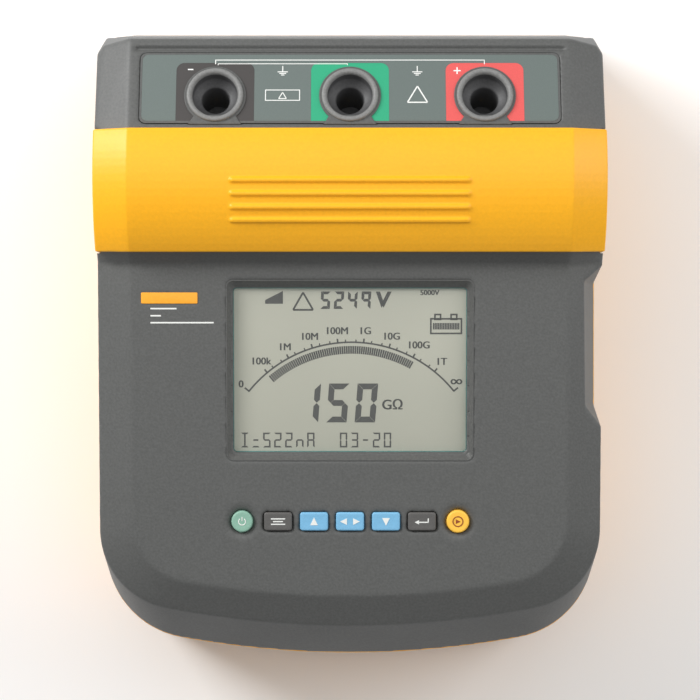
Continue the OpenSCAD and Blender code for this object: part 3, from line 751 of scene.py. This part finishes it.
# Heights over the panel and insets from the side of a key, in millimetres.
KEY_LENGTH = 8.75
KEY_TOP = 1.15
EDGE_START = KEY_TOP - 0.75
CAD_FLANGE = 1.3
FLANGE_REACH = 1.25
FLANGE_TOP = -3.35
FLANGE_BOTTOM = -4.3
NECK = -3.3
PLUNGER_INSET = 2.6
PLUNGER_END = -6.2


def arrow(marks, x, y, size, turn):
    """Filled triangle that points along turn degrees."""
    points = []
    for angle, reach in ((0, 1.0), (128, 1.0), (-128, 1.0)):
        a = math.radians(turn + angle)
        points.append((x + size * reach * math.cos(a), y + size * reach * math.sin(a)))
    marks.shape(points)


def key_marks(name):
    """Symbol of one key, about the middle of its top."""
    marks = Marks()
    if name == "power":
        marks.arc((0, 0), 1.45, 1.85, 125, 415, 28)
        marks.line((0, 0.3), (0, 2.2), 0.4)
    elif name == "function":
        for y, reach in ((1.3, 3.4), (0, 2.4), (-1.3, 3.4)):
            marks.line((-reach, y), (reach, y), 0.55)
    elif name == "up":
        arrow(marks, 0, -0.3, 2.3, 90)
    elif name == "down":
        arrow(marks, 0, 0.3, 2.3, -90)
    elif name == "left_right":
        arrow(marks, -2.7, 0, 2.0, 180)
        arrow(marks, 2.7, 0, 2.0, 0)
    elif name == "enter":
        marks.line((3.0, 1.5), (3.0, -0.6), 0.55)
        marks.line((3.2, -0.35), (-1.6, -0.35), 0.55)
        arrow(marks, -2.2, -0.35, 1.3, 180)
    else:
        marks.ring((0, 0), 2.1, 2.6)
        arrow(marks, -0.15, 0, 1.4, 0)
    return marks


def key_outline(name):
    """Function that gives the outline of a key, drawn in by an inset."""
    low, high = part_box("key_" + name)
    width = (high.x - low.x) / MM - 2 * CAD_FLANGE
    if name in ("power", "test"):
        steps = 48
        return lambda inset: [
            ((width / 2 - inset) * math.cos(2 * math.pi * i / steps),
             (width / 2 - inset) * math.sin(2 * math.pi * i / steps))
            for i in range(steps)
        ]
    return lambda inset: rounded_outline(
        width - 2 * inset, KEY_LENGTH - 2 * inset, max(0.35, 1.3 - 0.6 * inset), 6
    )


def build_key(name, material, mark_material):
    """One key cap from its plunger to its dished top, and the symbol on it."""
    body = name + "_button"
    node = "key_" + name
    outline = key_outline(name)
    spot = on_panel(node)
    place = PANEL @ Matrix.Translation((spot.x, KEY_ROW, 0))
    loops = [
        level(outline(PLUNGER_INSET), PLUNGER_END),
        level(outline(PLUNGER_INSET), FLANGE_BOTTOM),
        level(outline(-FLANGE_REACH), FLANGE_BOTTOM),
        level(outline(-FLANGE_REACH), FLANGE_TOP),
        level(outline(0.0), NECK),
        level(outline(0.0), EDGE_START),
    ]
    for i in range(1, 6):
        a = math.pi / 2 * i / 5
        loops.append(level(outline(0.75 * (1 - math.cos(a))), EDGE_START + 0.6 * math.sin(a)))
    for inset, height in ((1.5, -0.02), (2.3, -0.08), (3.2, -0.12)):
        loops.append(level(outline(inset), KEY_TOP - 0.15 + height))
    cap = new_object("key_cap_" + name, ring_mesh(node + "_cap", loops), material, place, body, 40)
    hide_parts(node)
    marks = key_marks(name).build(
        "key_mark_" + name, place, KEY_TOP - 0.29, KEY_TOP - 0.1, mark_material
    )
    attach(marks, body)
    return cap, marks


# ---------- sockets and terminal label ----------

SOCKET_MOUTH = 10.6
SURROUND_OUTER = 14.5
SURROUND_HOLE = 13.32
TONGUE_HALF = 10.6
TONGUE_NECK = -11.6
TONGUE_FLARE = -12.7
TONGUE_END = -14.6


def socket_profile():
    """Half section of one socket: rounded lip, wide mouth, deep bore."""
    mouth = SOCKET_MOUTH
    bore = BORE_RADIUS
    return [
        (3.1, -34.0),
        (10.0, -34.0),
        (10.0, -11.0),
        (13.3, -9.3),
        (13.3, 1.2),
        (13.1, 1.65),
        (12.6, 1.95),
        (12.0, 2.0),
        (11.5, 1.85),
        (11.0, 1.4),
        (10.7, 0.8),
        (mouth, 0.0),
        (mouth, -3.7),
        (mouth - 0.35, -4.4),
        (bore + 0.7, -6.0),
        (bore + 0.2, -6.3),
        (bore, -6.8),
        (bore, -30.0),
        (3.1, -30.0),
    ]


def build_socket(name, index, ring_plastic, bore_painted_shade):
    """One shroud, with painted shade: a darker colour on the faces inside its mouth and bore."""
    mesh = turned_mesh(name, socket_profile(), sizes().segments)
    place = TERMINALS @ Matrix.Translation((index * SOCKET_PITCH, 0, 0))
    socket = new_object(name + "_shroud", mesh, ring_plastic, place, crease=50)
    mesh.materials.append(bore_painted_shade)
    back = place.inverted()
    # Painted shade: faces inside the mouth and down the bore take the darker colour, standing in for the shade
    # deep in the socket.
    for face in mesh.polygons:
        spot = back @ face.center
        if math.hypot(spot.x, spot.y) < 10.8 and spot.z < -0.4:
            face.material_index = 1
    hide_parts(name)


def surround_outline(inset):
    """A ring round the socket that opens into a flared tongue towards the cover."""
    radius = SURROUND_OUTER - inset
    half = TONGUE_HALF - inset
    start = math.degrees(math.asin(-math.sqrt(radius**2 - (half - 0.6) ** 2) / radius))
    points = []
    for i in range(61):
        turn = math.radians(start + (180 - 2 * start) * i / 60)
        points.append((radius * math.cos(turn), radius * math.sin(turn)))
    end = TONGUE_END + inset
    points += [(-half, TONGUE_NECK), (-half - 0.7, TONGUE_FLARE), (-half - 1.9, end)]
    points += [(half + 1.9, end), (half + 0.7, TONGUE_FLARE), (half, TONGUE_NECK)]
    return points


def surround_loops():
    """Outer edge up, over the top and down into the hole that the shroud fills."""
    outline = surround_outline(0)
    hole = []
    for x, y in outline:
        turn = math.atan2(y, x)
        hole.append((SURROUND_HOLE * math.cos(turn), SURROUND_HOLE * math.sin(turn)))
    loops = [
        level(outline, 0.02),
        level(outline, 0.45),
        level(surround_outline(0.25), 0.65),
        level(hole, 0.7),
        level(hole, 0.02),
    ]
    loops.append(loops[0])
    return loops


def build_surround(index, plastic):
    """The low grey ring with a tongue round one socket."""
    name = "socket_surround_%d" % (index + 2)
    mesh = ring_mesh(name, surround_loops(), capped=False)
    fix_normals(mesh, weld=True)
    place = TERMINALS @ Matrix.Translation((index * SOCKET_PITCH, 0, 0))
    ring = new_object(name, mesh, plastic, place)


def earth_sign(marks, x, y):
    """A stem over three shorter and shorter bars."""
    marks.line((x, y + 2.6), (x, y - 0.3), 0.45)
    for i, half in enumerate((2.4, 1.6, 0.8)):
        marks.line((x - half, y - 0.4 - i * 0.8), (x + half, y - 0.4 - i * 0.8), 0.45)


def terminal_marks():
    """Linking lines, earth signs, plus and minus, an empty box and a triangle."""
    marks = Marks()
    low, high = 16.1, 18.0
    left, right = -SOCKET_PITCH, SOCKET_PITCH
    marks.line((left, high), (right, high), 0.4)
    marks.line((left, high + 0.2), (left, low - 0.2), 0.4)
    marks.line((right, high + 0.2), (right, low - 0.2), 0.4)
    marks.line((left + 1.2, low), (-1.2, low), 0.35)
    marks.line((left + 1.2, low + 0.17), (left + 1.2, low - 0.7), 0.35)
    marks.line((-1.2, low + 0.17), (-1.2, low - 0.7), 0.35)
    earth_sign(marks, left / 2, 12.4)
    earth_sign(marks, right / 2, 12.4)
    marks.line((left - 13.0, 13.2), (left - 10.4, 13.2), 0.6)
    marks.line((right - 14.6, 12.6), (right - 11.2, 12.6), 0.6)
    marks.line((right - 12.9, 14.3), (right - 12.9, 12.9), 0.6)
    marks.line((right - 12.9, 12.3), (right - 12.9, 10.9), 0.6)
    marks.frame(left / 2, 0.2, 16.4, 5.2, 0.4)
    marks.triangle_outline(left / 2, -1.5, 3.6, 0.4)
    marks.triangle_outline(right / 2, -3.4, 9.4, 0.6)
    return marks


# ---------- camera, lights and floor ----------

CAMERA_HEIGHT = 1.2
CAMERA_Y = -0.00375
FLOOR_REACH = 4.0
FLOOR_HEIGHT = -0.0001


def aim(obj, target, up="Y"):
    """Points a lamp at a target."""
    obj.rotation_euler = (Vector(target) - obj.location).to_track_quat("-Z", up).to_euler()


def soft_light(name, place, target, width, length, power, tint=(1, 1, 1)):
    """A rectangular area lamp that faces its target."""
    data = bpy.data.lights.new(name, "AREA")
    data.shape = "RECTANGLE"
    data.size = width
    data.size_y = length
    data.energy = power
    data.color = tint
    lamp = bpy.data.objects.new(name, data)
    lamp.location = place
    bpy.context.scene.collection.objects.link(lamp)
    aim(lamp, target)


def build_stage():
    """Camera straight above, pale floor, five soft lamps and an even white surround."""
    scene = bpy.context.scene
    data = bpy.data.cameras.new("camera")
    data.lens = sizes().lens_mm
    data.sensor_width = 36
    camera = bpy.data.objects.new("camera", data)
    camera.location = (0, CAMERA_Y, CAMERA_HEIGHT)
    scene.collection.objects.link(camera)
    scene.camera = camera
    scene.view_settings.view_transform = "Standard"
    mesh = bpy.data.meshes.new("floor")
    far = FLOOR_REACH
    corners = ((-far, -far), (far, -far), (far, far), (-far, far))
    mesh.from_pydata(level(corners, FLOOR_HEIGHT), [], [(0, 1, 2, 3)])
    recipe = Recipe("pale_floor", (0.93, 0.93, 0.93, 1), 0.8)
    recipe.tint(recipe.noise(3), 0.99, 1.0)
    mesh.materials.append(recipe.material)
    floor = bpy.data.objects.new("floor", mesh)
    scene.collection.objects.link(floor)
    soft_light("key_light", (-1.0, 0.72, 0.82), (0, 0.05, 0.12), 0.6, 0.6, 14.5)
    soft_light("edge_light", (-0.9, 0.52, 0.62), (-0.11, 0.12, 0.15), 0.25, 0.25, 2.2)
    soft_light("side_light", (1.0, 0.35, 0.8), (0, 0.0, 0.1), 0.7, 0.9, 6.5)
    soft_light("top_light", (0.0, 0.5, 1.8), (0, 0, 0), 1.4, 1.4, 9)
    soft_light("front_light", (0.2, -1.3, 0.9), (0, 0, 0.08), 1.2, 0.8, 1.0)
    world = bpy.data.worlds.new("studio")
    world.use_nodes = True
    background = world.node_tree.nodes["Background"]
    background.inputs["Color"].default_value = (1, 1, 1, 1)
    background.inputs["Strength"].default_value = 0.31
    scene.world = world


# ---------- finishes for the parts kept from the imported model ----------

def finish_nodes():
    """A material for each carried-over part, by what it is made of."""
    c = colours()
    black = (0.02, 0.02, 0.021, 1)
    plans = (
        (("terminal_panel",), moulded("body_grey", c.body)),
        (("terminal_label",), printed("label_film", c.film)),
        (("label_tab_black",), printed("tab_black_film", c.black_tab)),
        (("label_tab_green",), printed("tab_green_film", c.green_tab)),
        (("label_tab_red",), printed("tab_red_film", c.red_tab)),
        (("socket_contacts", "battery_tabs", "ac_inlet_pins"),
         metal("plated_brass", (0.78, 0.62, 0.32, 1), 0.28)),
        (("terminal_block", "ac_inlet", "fuse_holder", "buzzer"),
         moulded("black_plastic", (0.02, 0.02, 0.022, 1), 0.45, 1200, 0.00003, 0.2)),
        (("case_seal", "rubber_feet", "lcd_connectors"),
         moulded("black_rubber", black, 0.8, 700, 0.0001, 0.25)),
        # Painted highlight: the rear bumper is set lighter than the body grey, standing in for the light that
        # falls on its rear-facing wall.
        (("rear_bumper",), moulded("bumper_grey", (0.24, 0.24, 0.235, 1), 0.6)),
        (("lcd_backlight", "lcd_holder"), moulded("diffuser", (0.8, 0.8, 0.76, 1), 0.5)),
        (("keypad_mat",), moulded("silicone", (0.35, 0.35, 0.34, 1), 0.65, 500)),
        (("front_board", "main_board", "hv_board", "charger_board"), board("circuit_board")),
        (("front_board_screws", "board_screws", "case_screws", "cover_screws", "inlet_screws"),
         metal("zinc_screw", (0.62, 0.63, 0.65, 1), 0.32, (8, 8, 1))),
        (("control_chips", "hv_multiplier"), moulded("epoxy", (0.03, 0.03, 0.033, 1), 0.6)),
        (("capacitors",), moulded("blue_sleeve", (0.04, 0.07, 0.22, 1), 0.3, 200)),
        (("hv_transformer_core",), moulded("ferrite", (0.06, 0.06, 0.065, 1), 0.75, 400)),
        (("hv_transformer_coil",), metal("copper_winding", (0.75, 0.38, 0.16, 1), 0.35, (1, 1, 60))),
        (("charger_transformer",), moulded("yellow_tape", (0.7, 0.5, 0.08, 1), 0.4, 200)),
        (("hv_relays",), moulded("relay_shell", (0.62, 0.58, 0.48, 1), 0.5)),
        (("battery",), moulded("battery_shell", (0.045, 0.047, 0.055, 1), 0.5)),
        (("battery_strap", "rating_plate"), metal("brushed_plate", (0.66, 0.67, 0.68, 1), 0.4)),
        (("battery_leads", "hv_leads"), moulded("lead_insulation", (0.5, 0.04, 0.03, 1), 0.45, 300)),
        (("ribbon_cable",), moulded("ribbon_grey", (0.36, 0.38, 0.4, 1), 0.5, 300)),
        (("ir_window",), moulded("dark_red_window", (0.05, 0.006, 0.005, 1), 0.12, 60)),
        (("ir_leds",), moulded("led_epoxy", (0.08, 0.08, 0.09, 1), 0.2, 100)),
    )
    for nodes, material in plans:
        for node in nodes:
            data = frame["nodes"][node].data
            data.materials.clear()
            data.materials.append(material)


# ---------- operators ----------

BADGE_SIZE = (26.8, 5.3)


class TESTER_OT_stage(bpy.types.Operator):
    """Place the floor, the lights and the camera."""

    bl_idname = "tester.stage"
    bl_label = "Stage"

    def execute(self, context):
        build_stage()
        return {"FINISHED"}


class TESTER_OT_case(bpy.types.Operator):
    """Rebuild the lower and upper case with rounded moulded edges."""

    bl_idname = "tester.case"
    bl_label = "Case Shells"

    def execute(self, context):
        c, s = colours(), sizes()
        grey = moulded("body_grey", c.body)
        yellow = moulded("case_yellow", c.yellow, 0.42, 700, 0.00004, 0.04)
        upper = softened("upper_case", "upper_shell", s.grid, s.rounding, 0.6, grey)
        lower = softened("lower_case", "lower_shell", s.grid * 1.7, 3, 0.5, yellow)
        return {"FINISHED"}


class TESTER_OT_cover(bpy.types.Operator):
    """Rebuild the domed cover band with its ridges."""

    bl_idname = "tester.cover"
    bl_label = "Cover Band"

    def execute(self, context):
        c, s = colours(), sizes()
        yellow = moulded("case_yellow", c.yellow, 0.42, 700, 0.00004, 0.04)
        cover = softened("hump_cover", "cover_band", s.grid * 0.55, s.rounding - 2, 0.35, yellow)
        return {"FINISHED"}


class TESTER_OT_display(bpy.types.Operator):
    """Make the clear lens and the display face with its dial and signs."""

    bl_idname = "tester.display"
    bl_label = "Display"

    def execute(self, context):
        build_lens()
        build_display()
        return {"FINISHED"}


class TESTER_OT_keys(bpy.types.Operator):
    """Make the seven key caps with their symbols."""

    bl_idname = "tester.keys"
    bl_label = "Keys"

    def execute(self, context):
        c = colours()
        blue = moulded("key_blue", c.key_blue, 0.38, 1500, 0.00002, 0.04)
        dark = moulded("key_dark", c.key_dark, 0.45, 1500, 0.00002, 0.08)
        green = moulded("key_green", c.key_green, 0.42, 1500, 0.00002, 0.05)
        orange = moulded("key_orange", c.key_orange, 0.4, 1500, 0.00002, 0.04)
        white = printed("print_white", c.print_white)
        brown = printed("print_brown", (0.28, 0.06, 0.01, 1))
        finishes = (green, dark, blue, blue, blue, dark, orange)
        slots = ("key_green", "key_dark", "key_blue", "key_blue", "key_blue", "key_dark", "key_orange")
        for name, finish, slot_name in zip(KEYS, finishes, slots):
            cap, marks = build_key(name, finish, brown if name == "test" else white)
        return {"FINISHED"}


class TESTER_OT_sockets(bpy.types.Operator):
    """Make the three shrouded sockets, their surrounds and the printed marks."""

    bl_idname = "tester.sockets"
    bl_label = "Sockets and Label"

    def execute(self, context):
        c = colours()
        grey = moulded("body_grey", c.body)
        # Painted shade for the inside of each socket's mouth and bore.
        dark = moulded("socket_bore_painted_shade", (0.075, 0.075, 0.077, 1), 0.5)
        rim = moulded("shroud_grey", c.shroud, 0.5)
        for index, name in ((-1, "socket_minus"), (0, "socket_guard"), (1, "socket_plus")):
            build_socket(name, index, rim, dark)
            build_surround(index, grey)
        white = printed("print_white", c.print_white)
        marks = terminal_marks().build("terminal_marks", TERMINALS, 0.005, 0.06, white)
        return {"FINISHED"}


class TESTER_OT_badge(bpy.types.Operator):
    """Make the plain badge plate and the short printed bars under it."""

    bl_idname = "tester.badge"
    bl_label = "Badge"

    def execute(self, context):
        c = colours()
        spot = on_panel("badge_plate")
        width, length = BADGE_SIZE

        def outline(inset):
            return rounded_outline(width - 2 * inset, length - 2 * inset, 0.5, 4, (spot.x, spot.y))

        mesh = ring_mesh("badge", plate_loops(outline, -0.55, 0.2, 0.18))
        orange = moulded("badge_orange", (0.95, 0.40, 0.03, 1), 0.4, 900, 0.00002, 0.05)
        badge = new_object("badge_face", mesh, orange, PANEL)
        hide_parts("badge_plate")
        marks = Marks()
        left = spot.x - 9.0
        for drop, reach in ((5.0, 12.4), (8.4, 5.0), (11.7, 30.0)):
            marks.line((left, spot.y - drop), (left + reach, spot.y - drop), 0.7)
        bars = marks.build("badge_bars", PANEL, 0.0, 0.03, printed("print_white", c.print_white))
        return {"FINISHED"}


class TESTER_OT_finishes(bpy.types.Operator):
    """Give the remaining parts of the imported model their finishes."""

    bl_idname = "tester.finishes"
    bl_label = "Other Finishes"

    def execute(self, context):
        finish_nodes()
        return {"FINISHED"}


STEPS = (
    TESTER_OT_stage,
    TESTER_OT_case,
    TESTER_OT_cover,
    TESTER_OT_display,
    TESTER_OT_keys,
    TESTER_OT_sockets,
    TESTER_OT_badge,
    TESTER_OT_finishes,
)


class TESTER_PT_panel(bpy.types.Panel):
    """Lists the steps that build the tester, with its colours and sizes."""

    bl_idname = "TESTER_PT_panel"
    bl_label = "Insulation Tester"
    bl_space_type = "VIEW_3D"
    bl_region_type = "UI"
    bl_category = "Tester"

    def draw(self, context):
        layout = self.layout
        for group in (context.scene.tester_colours, context.scene.tester_sizes):
            for name in group.__annotations__:
                layout.prop(group, name)
        for step in STEPS:
            layout.operator(step.bl_idname)


CLASSES = (TesterColours, TesterSizes) + STEPS + (TESTER_PT_panel,)


def register():
    """Adds the operators, the panel and the settings."""
    for cls in CLASSES:
        bpy.utils.register_class(cls)
    bpy.types.Scene.tester_colours = PointerProperty(type=TesterColours)
    bpy.types.Scene.tester_sizes = PointerProperty(type=TesterSizes)


def unregister():
    """Takes away what register added."""
    del bpy.types.Scene.tester_sizes
    del bpy.types.Scene.tester_colours
    for cls in reversed(CLASSES):
        bpy.utils.unregister_class(cls)


def main():
    """Runs every step in turn."""
    register()
    for step in STEPS:
        group, name = step.bl_idname.split(".")
        getattr(getattr(bpy.ops, group), name)()


if __name__ == "__main__":
    main()
